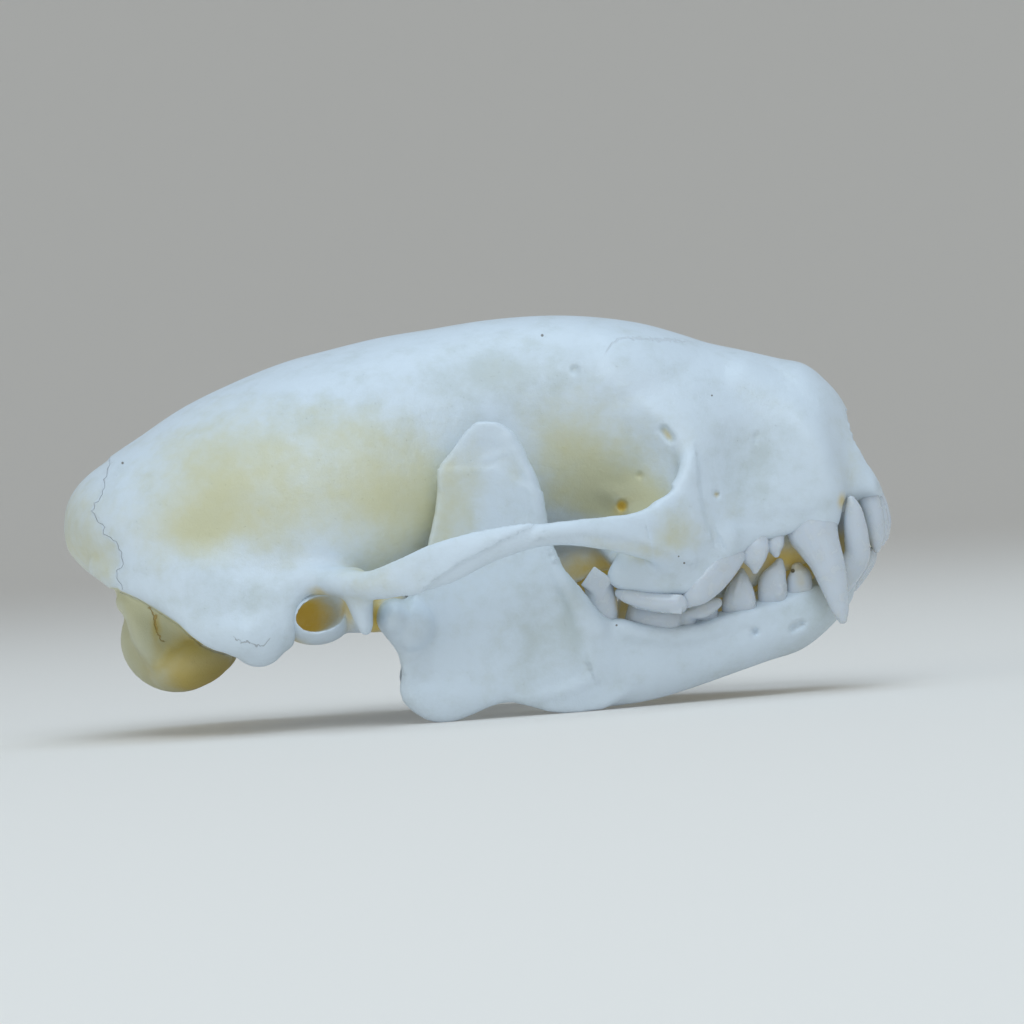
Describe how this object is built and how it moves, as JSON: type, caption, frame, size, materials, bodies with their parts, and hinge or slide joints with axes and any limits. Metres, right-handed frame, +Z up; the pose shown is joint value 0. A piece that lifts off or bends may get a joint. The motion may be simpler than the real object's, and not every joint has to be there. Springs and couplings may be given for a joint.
{
  "type": "skunk skull",
  "caption": "Life-size striped skunk skull with its lower jaw shut, resting on the jaw as a still display piece.",
  "frame": {"origin": "centre of the bounding box, on the floor that the lower jaw rests on", "axes": "+X towards the nose, +Y to the animal's left, +Z up"},
  "size_m": [0.0742, 0.0452, 0.0353],
  "materials": {
    "bone": "matt, cleaned and bleached bone",
    "jaw_bone": "matt, cleaned and bleached bone"
  },
  "bodies": {
    "root": {"braincase": "bone", "occiput": "bone", "face": "bone", "jugal_left": "bone", "jugal_right": "bone", "squamosal_arch_left": "bone", "squamosal_arch_right": "bone", "ear_capsule_left": "bone", "ear_capsule_right": "bone", "jaw_left": "jaw_bone", "jaw_right": "jaw_bone"}
  },
  "joints": []
}
